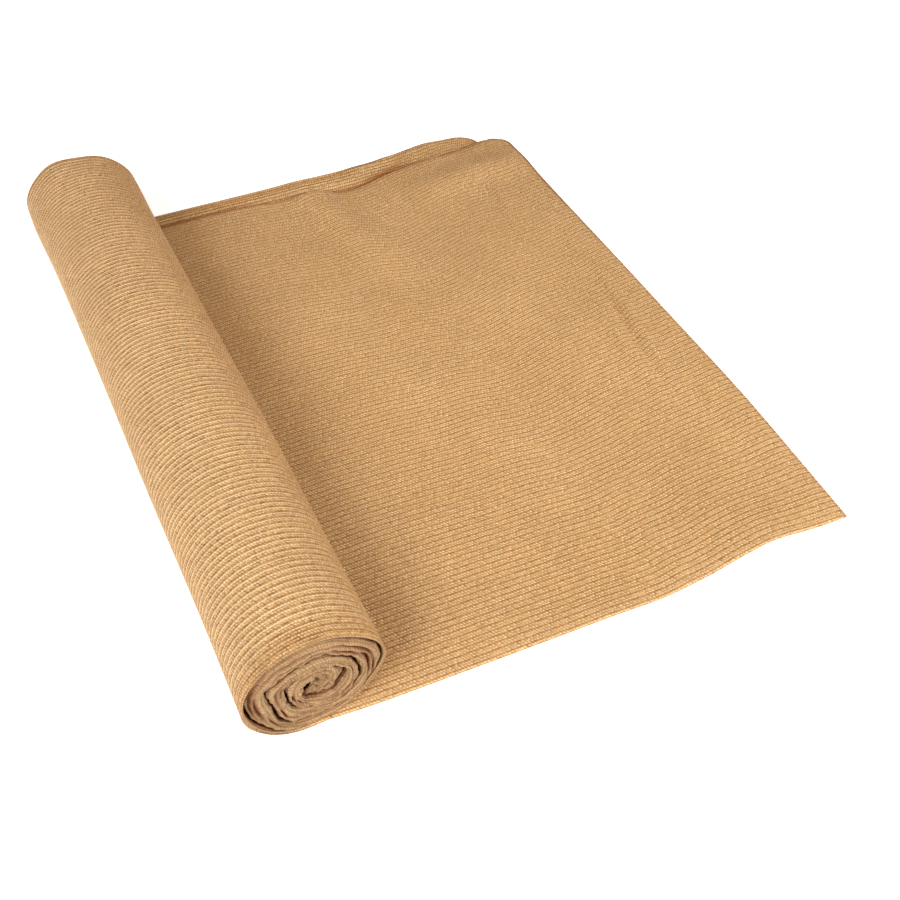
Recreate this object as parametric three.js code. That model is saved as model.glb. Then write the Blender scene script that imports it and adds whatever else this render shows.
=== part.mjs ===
// A roll of knitted shade netting lying on a flat surface, with its loose end drawn out flat to the right.
// The cloth is folded once along its length, with the fold at the near end of the roll and its two free
// edges at the far end. Millimetres, +Z up, +Y along the roll from near to far, +X along the loose end.
// The origin is on the surface, under the axis of the roll and near the middle of its length.
import * as THREE from "three";

// Driving dimensions of the cloth
const PLY_THICKNESS = 1.3;
const PLY_GAP = 0.8;
const CLEARANCE = 0.3;

// Driving dimensions of the roll
const NEAR_END_Y = -245;
const FAR_END_Y = 260;
const TURN_PITCH = 8.6;
const TURN_GAP = 0.8;
const TURN_COUNT = 3.8;
const FLAT_DEPTH = 1.2;
const SEAM_X = 6;
const STEPS_PER_TURN = 30;
const NEAR_ROUNDING = 4;
const FAR_ROUNDING = 1.5;
const ROUNDING_STEPS = 4;
const NEAR_TIP_SHARE = 0.25;
const FAR_TIP_SHARE = 0.5;
const TAPER_START = 0.05;

// Unevenness of the roll's outline: waves in a turn, millimetres along the roll per radian, and height as a
// share of the radius
const WAVES = [
  { perTurn: 3, alongLength: 60, height: 0.012 },
  { perTurn: 2, alongLength: -95, height: 0.007 },
];

// Half width and half height of the roll at places along its length
const ROLL_STATIONS = [
  { y: -250, halfWidth: 41.0, halfHeight: 38.0 },
  { y: -170, halfWidth: 42.4, halfHeight: 38.8 },
  { y: -60, halfWidth: 42.8, halfHeight: 39.2 },
  { y: 70, halfWidth: 42.4, halfHeight: 39.2 },
  { y: 180, halfWidth: 42.8, halfHeight: 39.0 },
  { y: 250, halfWidth: 42.6, halfHeight: 38.8 },
];

// How far the inner turns have slipped out of the near end
const TURN_SLIP = [
  { turn: 0, slip: 0 },
  { turn: 1, slip: 0.5 },
  { turn: 2.5, slip: 2.5 },
  { turn: 3.8, slip: 1 },
];

// Outline of the loose end: the fold near the eye, and the free edges of the lower and the upper ply
const OUTLINE = [
  { x: SEAM_X, fold: -247, lowerEdge: 262, upperEdge: 246 },
  { x: 60, fold: -251, lowerEdge: 267.5, upperEdge: 248 },
  { x: 110, fold: -254, lowerEdge: 266, upperEdge: 246 },
  { x: 160, fold: -257, lowerEdge: 265, upperEdge: 242 },
  { x: 205, fold: -259, lowerEdge: 264, upperEdge: 233 },
  { x: 260, fold: -257, lowerEdge: 266, upperEdge: 245 },
  { x: 290, fold: -254.5, lowerEdge: 268, upperEdge: 246 },
  { x: 335, fold: -255, lowerEdge: 272, upperEdge: 247 },
  { x: 385, fold: -257, lowerEdge: 262, upperEdge: 248 },
];
const CUT_END_X = 358;
const CUT_END_SLANT = 0.04;
const CORNER_RADIUS = 14;

// Soft ridges that stand off the surface: middle, half lengths along and across the ridge, its turn, height
const RIDGES = [
  { x: 292, y: -250, along: 48, across: 24, turnDeg: 62, height: 5 },
  { x: 338, y: 110, along: 90, across: 11, turnDeg: 96, height: 2.5 },
  { x: 205, y: 205, along: 55, across: 10, turnDeg: 124, height: 3 },
  { x: 150, y: 225, along: 40, across: 8, turnDeg: 138, height: 2 },
  { x: 352, y: 236, along: 26, across: 16, turnDeg: 60, height: 2.5 },
];
const LENGTH_STEPS = 26;
const WIDTH_STEPS = 14;
const FOLD_STEPS = 6;
const CORNER_STEPS = 3;

const LOOSE_THICKNESS = 2 * PLY_THICKNESS + PLY_GAP;

// Value of a column at a place between the rows of a table, on straight lines
function between(rows, key, column, value) {
  const last = rows.length - 1;
  if (value <= rows[0][key]) return rows[0][column];
  if (value >= rows[last][key]) return rows[last][column];
  const next = rows.findIndex((row) => row[key] > value);
  const low = rows[next - 1];
  const high = rows[next];
  const share = (value - low[key]) / (high[key] - low[key]);
  return THREE.MathUtils.lerp(low[column], high[column], share);
}

// Closed body through rings of points. Each ring holds pairs of an outer and an inner point, in order
// along a strip, so a ring's own area is the chain of quads between the neighbouring pairs.
function stripBody(rings) {
  const pairCount = rings[0].length;
  const ringSize = 2 * pairCount;
  const positions = [];
  for (const ring of rings) {
    for (const pair of ring) positions.push(...pair.outer);
    for (const pair of [...ring].reverse()) positions.push(...pair.inner);
  }
  const faces = [];
  for (let r = 0; r + 1 < rings.length; r += 1) {
    for (let i = 0; i < ringSize; i += 1) {
      const j = (i + 1) % ringSize;
      const a = r * ringSize + i;
      const b = r * ringSize + j;
      faces.push(a, b, b + ringSize, a, b + ringSize, a + ringSize);
    }
  }
  const lastRing = (rings.length - 1) * ringSize;
  for (let i = 0; i + 1 < pairCount; i += 1) {
    const innerHere = ringSize - 1 - i;
    const innerNext = ringSize - 2 - i;
    faces.push(i, innerNext, i + 1, i, innerHere, innerNext);
    faces.push(lastRing + i, lastRing + i + 1, lastRing + innerNext);
    faces.push(lastRing + i, lastRing + innerNext, lastRing + innerHere);
  }
  const geometry = new THREE.BufferGeometry();
  geometry.setAttribute("position", new THREE.Float32BufferAttribute(positions, 3));
  geometry.setIndex(signedVolume(positions, faces) > 0 ? faces : faces.reverse());
  geometry.computeVertexNormals();
  return geometry;
}

// Volume inside the faces, below zero where they point in
function signedVolume(positions, faces) {
  const corner = (index) => new THREE.Vector3().fromArray(positions, 3 * index);
  let volume = 0;
  for (let f = 0; f < faces.length; f += 3) {
    const cross = corner(faces[f + 1]).cross(corner(faces[f + 2]));
    volume += corner(faces[f]).dot(cross) / 6;
  }
  return volume;
}

// Distance from the axis to the outline of the roll: an oval with a flat spot where it rests
function rollOutline(angle, y) {
  const halfWidth = between(ROLL_STATIONS, "y", "halfWidth", y);
  const halfHeight = between(ROLL_STATIONS, "y", "halfHeight", y);
  const side = Math.cos(angle);
  const up = Math.sin(angle);
  const oval = (halfWidth * halfHeight) / Math.hypot(halfHeight * side, halfWidth * up);
  const upness = (1 + up) / 2;
  let wave = 0;
  for (const { perTurn, alongLength, height } of WAVES) {
    wave += height * Math.sin(perTurn * angle + y / alongLength);
  }
  const uneven = oval * (1 + upness * wave);
  const floorDistance = halfHeight - FLAT_DEPTH;
  return up < 0 ? Math.min(uneven, floorDistance / -up) : uneven;
}

// Share of the outline's distance that the outer face of a turn has lost. The first turn starts as thin
// as the loose end and grows to the full band, so the second turn lies on the loose end.
function depthShare(turn) {
  const { halfHeight } = ROLL_STATIONS[0];
  const firstTurn = (LOOSE_THICKNESS + 2 * CLEARANCE) / (halfHeight - FLAT_DEPTH);
  const fullTurn = TURN_PITCH / ((ROLL_STATIONS[0].halfWidth + halfHeight) / 2);
  const eased = THREE.MathUtils.smoothstep(turn, TAPER_START, 1);
  return turn < 1 ? firstTurn * eased : firstTurn + fullTurn * (turn - 1);
}

// Places along a band from its near to its far end, with the share of the half thickness there
function bandProfile() {
  const rows = [];
  for (let i = 0; i <= ROUNDING_STEPS; i += 1) {
    const angle = (i / ROUNDING_STEPS) * (Math.PI / 2);
    const share = Math.max(NEAR_TIP_SHARE, Math.sin(angle));
    rows.push({ y: NEAR_END_Y + NEAR_ROUNDING * (1 - Math.cos(angle)), share });
  }
  for (const station of ROLL_STATIONS.slice(1, -1)) rows.push({ y: station.y, share: 1 });
  rows.push({ y: FAR_END_Y - FAR_ROUNDING, share: 1 });
  rows.push({ y: FAR_END_Y, share: FAR_TIP_SHARE });
  return rows;
}

// The roll: one band wound clockwise from the seam under the axis to the core
function rollGeometry() {
  const profile = bandProfile();
  const gapShare = TURN_GAP / ROLL_STATIONS[0].halfWidth;
  const steps = Math.round(TURN_COUNT * STEPS_PER_TURN);
  const startAngle = Math.atan2(FLAT_DEPTH - ROLL_STATIONS[0].halfHeight, SEAM_X);
  const rings = [];
  for (let step = 0; step <= steps; step += 1) {
    const turn = (step / steps) * TURN_COUNT;
    const angle = startAngle - 2 * Math.PI * turn;
    const slip = between(TURN_SLIP, "turn", "slip", turn);
    const outerShare = 1 - depthShare(turn);
    const innerShare = 1 - depthShare(turn + 1) + gapShare;
    const middle = (outerShare + innerShare) / 2;
    const half = (outerShare - innerShare) / 2;
    rings.push(profile.map(({ y, share }) => {
      const distance = rollOutline(angle, y);
      const axisHeight = between(ROLL_STATIONS, "y", "halfHeight", y) - FLAT_DEPTH;
      const place = (radiusShare) => [
        distance * radiusShare * Math.cos(angle),
        y - slip,
        axisHeight + distance * radiusShare * Math.sin(angle),
      ];
      return { outer: place(middle + half * share), inner: place(middle - half * share) };
    }));
  }
  return stripBody(rings);
}

// Height that the soft ridges lift the cloth off the surface
function lift(x, y) {
  let height = 0;
  for (const ridge of RIDGES) {
    const turn = THREE.MathUtils.degToRad(ridge.turnDeg);
    const along = ((x - ridge.x) * Math.cos(turn) + (y - ridge.y) * Math.sin(turn)) / ridge.along;
    const across = ((y - ridge.y) * Math.cos(turn) - (x - ridge.x) * Math.sin(turn)) / ridge.across;
    height += ridge.height * Math.exp(-along * along - across * across);
  }
  return height;
}

// Distance that a rounded corner takes off the cut end, at a distance in from the free edge
function cornerLoss(fromEdge) {
  const reach = THREE.MathUtils.clamp(1 - fromEdge / CORNER_RADIUS, 0, 1);
  return CORNER_RADIUS * (1 - Math.sqrt(1 - reach * reach));
}

// Distances of a ply's points from its free edge: close together in the corner, then even up to the fold
function plyDistances(plyWidth) {
  const distances = [];
  for (let i = 0; i < CORNER_STEPS; i += 1) {
    const angle = (i / CORNER_STEPS) * (Math.PI / 2);
    distances.push(CORNER_RADIUS * (1 - Math.cos(angle)));
  }
  for (let i = 0; i < WIDTH_STEPS; i += 1) {
    distances.push(THREE.MathUtils.lerp(CORNER_RADIUS, plyWidth, i / WIDTH_STEPS));
  }
  return distances;
}

// Section of the loose end at a share of its length: the lower ply from its free edge to the fold, round
// the fold, and the upper ply back to its free edge
function looseSection(lengthShare) {
  const startX = SEAM_X + 2 * CLEARANCE;
  const edgeX = startX + lengthShare * (CUT_END_X - startX);
  const fold = between(OUTLINE, "x", "fold", edgeX);
  const foldRadius = LOOSE_THICKNESS / 2;
  const pairs = [];
  const addPair = (y, z, normalY, normalZ, fromEdge) => {
    const cutEnd = CUT_END_X + CUT_END_SLANT * (y - fold) - cornerLoss(fromEdge);
    const x = startX + lengthShare * (cutEnd - startX);
    const half = PLY_THICKNESS / 2;
    const height = z + lift(x, y);
    pairs.push({
      outer: [x, y + half * normalY, height + half * normalZ],
      inner: [x, y - half * normalY, height - half * normalZ],
    });
  };
  const foldStart = fold + foldRadius;
  const lowerEdge = between(OUTLINE, "x", "lowerEdge", edgeX);
  for (const distance of plyDistances(lowerEdge - foldStart)) {
    addPair(lowerEdge - distance, PLY_THICKNESS / 2, 0, -1, distance);
  }
  const centreRadius = foldRadius - PLY_THICKNESS / 2;
  for (let i = 0; i <= FOLD_STEPS; i += 1) {
    const angle = -Math.PI / 2 - (i / FOLD_STEPS) * Math.PI;
    const y = foldStart + centreRadius * Math.cos(angle);
    const z = foldRadius + centreRadius * Math.sin(angle);
    addPair(y, z, Math.cos(angle), Math.sin(angle), CORNER_RADIUS);
  }
  const upperZ = LOOSE_THICKNESS - PLY_THICKNESS / 2;
  const upperEdge = between(OUTLINE, "x", "upperEdge", edgeX);
  for (const distance of plyDistances(upperEdge - foldStart).reverse()) {
    addPair(upperEdge - distance, upperZ, 0, 1, distance);
  }
  return pairs;
}

// The loose end: the folded cloth from the seam under the roll to its cut end
function looseEndGeometry() {
  const rings = [];
  for (let step = 0; step <= LENGTH_STEPS; step += 1) rings.push(looseSection(step / LENGTH_STEPS));
  return stripBody(rings);
}

function netting(name, geometry, color) {
  const material = new THREE.MeshStandardMaterial({ color, roughness: 0.85, metalness: 0 });
  material.name = `${name}_netting`;
  const mesh = new THREE.Mesh(geometry, material);
  mesh.name = name;
  return mesh;
}

const shadeNetting = new THREE.Group();
shadeNetting.add(netting("roll", rollGeometry(), "#d4ab7b"));
shadeNetting.add(netting("loose_end", looseEndGeometry(), "#d5a773"));

export default shadeNetting;
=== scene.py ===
import math

import bpy
import numpy as np
from mathutils import Matrix, Vector


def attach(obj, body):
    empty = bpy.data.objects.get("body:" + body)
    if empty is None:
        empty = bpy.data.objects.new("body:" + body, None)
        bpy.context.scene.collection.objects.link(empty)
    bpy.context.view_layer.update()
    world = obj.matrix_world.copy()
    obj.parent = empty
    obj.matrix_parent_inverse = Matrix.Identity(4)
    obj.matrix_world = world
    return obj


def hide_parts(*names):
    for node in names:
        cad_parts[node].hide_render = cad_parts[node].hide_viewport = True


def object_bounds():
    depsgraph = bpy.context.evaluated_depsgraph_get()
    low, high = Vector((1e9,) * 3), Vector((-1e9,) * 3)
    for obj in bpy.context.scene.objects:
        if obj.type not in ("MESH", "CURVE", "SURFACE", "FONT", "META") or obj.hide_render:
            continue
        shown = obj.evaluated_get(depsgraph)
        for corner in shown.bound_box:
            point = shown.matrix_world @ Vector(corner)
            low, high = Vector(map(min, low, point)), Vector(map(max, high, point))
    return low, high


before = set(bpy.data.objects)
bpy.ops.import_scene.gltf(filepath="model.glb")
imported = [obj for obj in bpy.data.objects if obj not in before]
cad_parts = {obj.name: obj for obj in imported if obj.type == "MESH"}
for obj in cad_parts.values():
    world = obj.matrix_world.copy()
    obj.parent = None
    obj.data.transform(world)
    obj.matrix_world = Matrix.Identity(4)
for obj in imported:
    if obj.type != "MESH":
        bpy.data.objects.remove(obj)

# A roll of knitted shade netting on a pale floor. One length of cloth is folded once along its
# length, with the fold at the near end of the roll, wound up, and its last stretch drawn out flat
# to the right. Metres, +Z up, +Y along the roll from near to far, +X along the loose end. The
# tables and the sizes beside them are in millimetres.

bl_info = {
    "name": "Shade netting roll",
    "version": (1, 0, 0),
    "blender": (4, 5, 0),
    "location": "3D View > Sidebar > Netting",
    "description": "Builds a roll of knitted shade netting with its loose end",
    "category": "Add Mesh",
}

CAD_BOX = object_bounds()
MM = 0.001

# Half of what the crest of the loops lies lower than that of the ribs, as a share of the relief
LOOP_DROP = 0.16

# Columns of a table of waves: height, radians for each unit of two coordinates, and phase
WAVES = [("height", "f8"), ("per_a", "f8"), ("per_b", "f8"), ("phase", "f8")]

# Cloth colours, as sRGB hex
CORD_HEX = "#fadcb2"
BEAD_HEX = "#f4d3a4"
TAPE_HEX = "#cfa56d"
GROUND_HEX = "#935e29"
PIT_HEX = "#6b3d12"
# Painted shade on the near end's face, laid over the knit where the fold lies flat
FLAT_FOLD_SHADE_HEX = "#7b6147"
# Painted shade between the turns, in the creases and along the edges
PAINTED_SHADE_HEX = "#b87645"
FLOOR_HEX = "#f7f7f6"

# Half width and half height of the roll, and its middle across, at places along its length, in millimetres
ROLL_STATIONS = np.array(
    [(-250, 42.6, 37.9, -0.4), (-170, 42.2, 38.8, 0.2), (-60, 42.8, 39.2, 0.2),
     (70, 42.6, 39.2, 0.0), (180, 43.2, 39.0, -0.3), (250, 43.9, 39.0, -0.7)],
    dtype=[("y", "f8"), ("half_width", "f8"), ("half_height", "f8"), ("middle", "f8")])
# Unevenness of its outline as a share of it, by angle round the roll and place along it
OUTLINE_WAVES = np.array([(0.008, 3, 1 / 60, 0.0), (0.006, 2, -1 / 95, 1.0), (0.004, 5, 1 / 33, 2.0)],
                         dtype=WAVES)
# How deep the outline is cut flat where it rests, and where the near end of the roll lies along Y
FLAT_DEPTH = 1.2
NEAR_END_Y = -245.0

# The gap on the outside of the wound band, by turns from the point under the axis: clockwise from the
# bottom over the left side, the top and the right. share is of the outline's distance, gap in millimetres.
GAPS = np.array(
    [(-0.10, 1.0, 0.0), (0.0, 1.0, 0.0), (0.25, 1.0, 0.0), (0.5, 1.0, 0.0), (0.70, 1.0, 0.0),
     (0.75, 0.975, 0.4), (0.80, 0.905, 0.5), (0.84, 0.872, 0.5), (0.88, 0.862, 0.5), (0.92, 0.873, 0.5),
     (0.955, 0.902, 0.4), (1.0, 0.903, 0.4), (1.06, 0.905, 0.8), (1.12, 0.905, 1.3), (1.16, 0.89, 1.4),
     (1.20, 0.892, 1.3), (1.24, 0.915, 1.2), (1.30, 0.93, 0.9), (1.375, 0.935, 0.7), (1.5, 0.94, 0.5),
     (1.56, 0.935, 0.6), (1.61, 0.90, 1.2), (1.67, 0.918, 1.4), (1.72, 0.91, 1.5), (1.76, 0.87, 1.2),
     (1.80, 0.80, 0.5), (1.84, 0.775, 0.4), (1.88, 0.765, 0.5), (1.93, 0.765, 0.6), (2.0, 0.755, 0.8),
     (2.09, 0.755, 1.2), (2.13, 0.71, 1.8), (2.16, 0.655, 2.0), (2.20, 0.58, 1.6), (2.24, 0.588, 1.0),
     (2.27, 0.62, 0.8), (2.31, 0.66, 0.8), (2.35, 0.61, 0.8), (2.42, 0.58, 0.5), (2.51, 0.60, 0.4),
     (2.57, 0.61, 0.6), (2.63, 0.568, 1.0), (2.69, 0.565, 1.2), (2.75, 0.575, 1.3), (2.79, 0.605, 1.7),
     (2.86, 0.60, 0.8), (2.93, 0.605, 0.7), (3.0, 0.53, 0.6), (3.06, 0.45, 1.2), (3.13, 0.435, 1.4),
     (3.19, 0.39, 1.9), (3.25, 0.373, 1.4), (3.33, 0.405, 0.7), (3.42, 0.405, 0.5), (3.5, 0.375, 0.5),
     (3.6, 0.395, 0.7), (3.68, 0.40, 1.6), (3.75, 0.393, 1.5), (3.82, 0.378, 0.8), (3.9, 0.375, 0.7),
     (4.0, 0.34, 0.6), (4.1, 0.27, 0.6), (4.25, 0.13, 1.4), (4.375, 0.12, 1.4), (4.5, 0.115, 1.2),
     (4.62, 0.09, 1.0), (4.75, -0.02, 0.4), (5.0, -0.05, 0.0), (5.2, -0.05, 0.0)],
    dtype=[("turn", "f8"), ("share", "f8"), ("gap", "f8")])
# Turns at which the winding meets the loose end, passes from the outer turn to the inner ones,
# and ends, and how far the loose end reaches back past the seam
SEAM_TURN = -0.026
SPLIT_TURN = 1.0
LAST_TURN = 4.12
SEAM_LAP = 0.6

# Where the free edges of the outer and the inner ply end at the far end of the roll, along Y
FAR_EDGES = np.array(
    [(-0.03, 262.0, 246.0), (0.12, 265.0, 247.0), (0.25, 268.0, 248.0), (0.38, 266.0, 246.0),
     (0.5, 262.0, 245.0), (0.65, 261.0, 247.0), (0.8, 259.0, 249.0), (1.0, 262.0, 246.0),
     (1.3, 258.0, 247.0), (1.6, 261.0, 244.0), (2.0, 257.0, 246.0), (2.4, 260.0, 245.0),
     (2.9, 258.0, 243.0), (3.4, 261.0, 246.0), (4.12, 256.0, 244.0)],
    dtype=[("turn", "f8"), ("outer", "f8"), ("inner", "f8")])

# How taut the cloth is round the roll, which brings out the chain stitches
TAUT = np.array([(0.0, 0.8), (0.3, 1.0), (0.48, 0.95), (0.58, 0.6), (0.68, 0.3), (0.85, 0.25), (1.0, 0.8)],
                dtype=[("turn", "f8"), ("taut", "f8")])

# Widths of the two plies of the roll from the fold to their free edges
OUTER_PLY = 515.0
INNER_PLY = 497.0

# How far each turn has slipped out of the near end
SLIPS = np.array(
    [(-0.03, 2.2), (0.0, 2.1), (0.12, 2.2), (0.25, 1.7), (0.4, 0.6), (0.5, 0.2), (0.75, 0.4), (1.0, 1.8),
     (1.12, 2.0), (1.25, 1.6), (1.5, 2.0), (1.75, 1.6), (2.0, 1.2), (2.25, 2.0), (2.5, 2.6), (2.75, 1.8),
     (3.0, 1.6), (3.4, 1.8), (3.7, 0.8), (4.12, -2.0)],
    dtype=[("turn", "f8"), ("slip", "f8")])

# Creases in the near fold: where along the winding and how long, in turns, where across the fold
# (-1 outer flank, 1 inner flank), how deep, and how wide as a share of the fold's half width
CREASES = np.array(
    [(0.12, 0.10, 0.05, 2.0, 0.41), (0.84, 0.10, -0.1, 2.0, 0.41),
     (1.24, 0.05, -0.15, 3.8, 0.18), (1.28, 0.07, -0.62, 4.0, 0.16), (1.12, 0.06, 0.30, 3.8, 0.18),
     (1.66, 0.07, -0.30, 4.2, 0.14), (1.72, 0.06, 0.15, 5.6, 0.16), (1.63, 0.05, 0.45, 3.8, 0.14),
     (1.78, 0.04, -0.45, 3.8, 0.16), (1.48, 0.12, 0.35, 2.0, 0.14), (1.43, 0.10, -0.30, 1.6, 0.14),
     (2.12, 0.05, -0.30, 3.8, 0.16), (2.04, 0.05, 0.20, 3.2, 0.16), (2.30, 0.12, -0.15, 2.0, 0.16),
     (2.33, 0.10, 0.40, 2.0, 0.15), (2.72, 0.12, 0.0, 2.0, 0.16), (2.88, 0.05, -0.35, 4.2, 0.19),
     (2.93, 0.04, 0.25, 3.8, 0.16), (2.55, 0.10, 0.25, 1.8, 0.15), (3.10, 0.05, 0.10, 4.4, 0.27),
     (3.20, 0.05, -0.40, 3.2, 0.19), (3.50, 0.12, -0.30, 1.9, 0.16), (3.62, 0.12, 0.25, 2.0, 0.16),
     (3.85, 0.06, -0.20, 3.2, 0.16), (3.95, 0.06, 0.35, 3.0, 0.16)],
    dtype=[("turn", "f8"), ("span", "f8"), ("across", "f8"), ("depth", "f8"), ("width", "f8")])

# How far the fold reaches past its plies, how far from the fold it is uneven, and how far its
# creases run, each as a factor of the band's half width and a length to add
FOLD_REACH = (0.55, 0.8)
FOLD_ZONE = (2.2, 4.0)
CREASE_ZONE = (3.0, 3.0)
# Unevenness of the fold, by angle round the roll and distance across the cloth, and its share on
# the outer turn
FOLD_WAVES = np.array(
    [(0.40, 5, 0.21, 0.0), (0.35, 9, -0.3, 1.3), (0.28, 17, 0.45, 0.4), (0.22, 29, -0.6, 2.0)], dtype=WAVES)
FOLD_WAVES_OUTSIDE = 0.25
# Unevenness of the free edges, and the stretch across the cloth over which it grows
FREE_WAVES = np.array([(0.5, 4, 0.03, 0.5), (0.3, 7, -0.05, 2.0)], dtype=WAVES)
FREE_PART = (380.0, 490.0)
# Share of a turn over which a change sets in
SET_IN = 0.1
# Stretch across the cloth over which the ribs of covered cloth fade
RIBS_FADE = (14.0, 18.0)
# Tautness beside the fold: where it starts, in half widths of the band, the length it grows over,
# and the least
TAUT_START, TAUT_SPAN, TAUT_LEAST = 2.5, 14.0, 0.12
# Stretch past the band's half width over which the flattened fold and its painted shade fade
FLAT_FOLD_SHADE_FADE = (3.0, 8.0)
# Depth behind the fold over which the cloth between two turns grows to the full painted shade
PAINTED_SHADE_DEPTH = 3.0
# Depth at which a crease would take the full painted shade, and the most painted shade in a crease
CREASE_DARK, CREASE_MOST = 3.2, 0.85
# Strip at the raw free edge over which it darkens, and how much: painted shade of the edge, whose
# frayed tape ends are darker too
RAW_STRIP, FRAY_AND_EDGE_SHADE = (-2.5, -1.0), 0.7

# Outline of the loose end, along X: the fold, and the free edges of the lower and the upper ply
OUTLINE = np.array(
    [(0, -246.6, 262, 246), (30, -249.5, 268, 248), (61, -251.3, 268, 249), (96, -253.0, 267, 248),
     (132, -254.8, 266, 244), (150, -255.6, 265.6, 240), (187, -257.3, 264.8, 238),
     (206, -258.6, 264.4, 231), (230, -259.2, 264.1, 233), (246, -258.2, 265.2, 238),
     (266, -256.2, 265.6, 243), (286, -256.0, 267.2, 246), (308, -255.8, 270.4, 246),
     (328, -256.0, 273, 248.5), (345, -256.5, 271, 252.0), (385, -257, 268, 253)],
    dtype=[("x", "f8"), ("fold", "f8"), ("lower_edge", "f8"), ("upper_edge", "f8")])
# The cut end: its place at the near side, and how far it bends out from there
CUT_END_X = 359.5
CUT_END_BEND = np.array([(-258, 0.0), (-210, 3.5), (-140, 8.5), (-20, 12.5), (120, 16.0), (250, 19.5)],
                        dtype=[("y", "f8"), ("shift", "f8")])
# Its corner at the far side: radius on the upper and on the lower ply, and how much of the
# quarter circle is used
CORNER_RADIUS = 17.0
LOWER_CORNER_RADIUS = 20.0
CORNER_MOST = 0.98
# How far the lower ply stops short of the cut end at the far side, and the stretch across over
# which this grows
LOWER_SHORT, LOWER_SHORT_PART = 26.0, (150.0, 250.0)
# Widths of the loose end's two plies, half the thickness of its fold, and the least height of the upper ply
LOOSE_LOWER_PLY, LOOSE_UPPER_PLY = 522.0, 502.0
LOOSE_HALF = 1.75
PLY_FLOOR = 1.2

# Soft ridges that stand in the loose end, and troughs with a height below zero: middle, half length,
# half width, direction in degrees from +X, height, and the share of it that the lower ply follows
RIDGES = np.array(
    [(298, -262, 62, 27, 90, 6.5, 1.0), (236, -215, 75, 11, 90, 2.6, 0.3), (264, -200, 60, 9, 90, -1.2, 0.0),
     (331, -45, 62, 3.2, 81, -2.0, 0.0), (340, -35, 70, 6.5, 82, 3.0, 0.2),
     (319, -65, 62, 7.5, 84, 2.4, 0.2), (322, 165, 40, 4.0, 80, -1.6, 0.0),
     (331, 170, 45, 7.0, 80, 2.0, 0.2), (333, -170, 40, 6.0, 86, -0.8, 0.0),
     (186, 215, 85, 15, 100, 5.0, 0.2), (214, 205, 70, 10, 108, -0.9, 0.0), (232, 241, 26, 7.0, 8, 5.0, 0.1),
     (150, 243, 40, 5.0, -8, 2.6, 0.2), (330, 206, 62, 20, 2, 5.5, 0.4), (110, 120, 140, 26, 96, 0.9, 0.0),
     (275, 60, 120, 24, 70, 1.0, 0.0), (75, -120, 90, 14, 92, 0.8, 0.0)],
    dtype=[("x", "f8"), ("y", "f8"), ("along", "f8"), ("across", "f8"), ("turn_deg", "f8"), ("height", "f8"),
           ("lower", "f8")])
# How far the ribs bow to the far side, the stretch along X over which this grows, and how pointed
# the bow is
RIB_BOW, BOW_PART, BOW_SHAPE = 11.0, (225.0, 365.0), 1.3
# Gathers of the lower ply at its far edge: the stretch across over which they set in, the one
# along X over which they end, their middle height, and their waves by X and Y
GATHERED_Y, GATHERED_X = (236.0, 242.0), (CUT_END_X - 100, CUT_END_X - 40)
GATHERED_HEIGHT = 0.5
GATHERED_WAVES = np.array([(0.5, 0.03, 1.25, 0.0)], dtype=WAVES)
# Slight waves of the upper ply by X and Y, and the stretch along X over which they set in
SHEET_WAVES = np.array([(0.22, 0.05, 0.02, 0.0), (0.16, 0.09, -0.035, 1.0)], dtype=WAVES)
SHEET_FREE = (60.0, 100.0)
# Share of the rib relief on the lower ply, which lies flat on the floor
LOWER_RELIEF = 0.3
# Share of its height by which the upper ply droops at its cut and at its far edge, over what
# width, and the most
CUT_DROOP, CUT_DROOP_WIDTH = 0.5, 5.0
EDGE_DROOP, EDGE_DROOP_WIDTH = 0.35, 4.0
DROOP_MOST = 0.6
# Tautness of the loose end: all over, more beside the fold with its place and width, and its
# waves by X and Y
LOOSE_TAUT = 0.10
FOLD_TAUT, FOLD_TAUT_PLACE, FOLD_TAUT_WIDTH = 0.16, 4.0, 10.0
LOOSE_TAUT_WAVES = np.array([(0.05, 0.05, 0.02, 0.0), (0.04, 0.031, -0.045, 1.0)], dtype=WAVES)
# Painted shade at the drooping cut end: its darkness, how much more it is at the far side, its width,
# and the stretch across over which it grows
CUT_DARK, CUT_DARK_MORE, CUT_DARK_WIDTH, CUT_DARK_PART = 0.3, 0.65, 2.0, (40.0, 160.0)
# Painted shade at the drooping far edges: its darkness and its width
EDGE_DARK, EDGE_DARK_WIDTH = 0.7, 1.5
# Painted shadow on the lower ply beside the upper one's far edge: its least darkness, how much more
# it is towards the roll, its width, where it starts across, and the stretch along X over which it fades
UNDER_DARK, UNDER_DARK_MORE, UNDER_DARK_WIDTH = 0.15, 0.7, 5.0
UNDER_DARK_FROM, UNDER_DARK_PART = 180.0, (255.0, 315.0)

# Rows of points along the cloth of each piece, and how much closer they come towards the cut end
OUTER_ROWS, INNER_ROWS, LOOSE_ROWS = 88, 375, 80
CUT_CLOSER = 1.35
# Spacing of the points across the cloth where it doesn't show, how far the close points go past
# the fold on the roll and on the loose end, and the strip of the lower ply that shows
COARSE, INNER_COARSE = 22.0, 24.0
PAST_FOLD, LOOSE_PAST_FOLD = 16.0, 8.0
LOWER_SHOWS = 50.0

# Sizes of the cloth's variation: single tapes, which are finer on the real one and wouldn't show in the
# render, how the ribs sway, how the stitches wander, patches of the cloth, and streaks along single ribs
TAPE_SIZE, SWAY_SIZE, WANDER_SIZE, PATCH_SIZE, STREAK_SIZE = 2.381, 6.667, 26.316, 45.455, 9.804
# How far apart the streaks of two ribs are taken
STREAK_STEP = 1.7
# How far the ribs sway and the tapes move them, in ribs, and the middle of both, which is taken off
SWAY, TAPE_SWAY, SWAY_MIDDLE = 0.14, 0.06, -0.10
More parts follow.
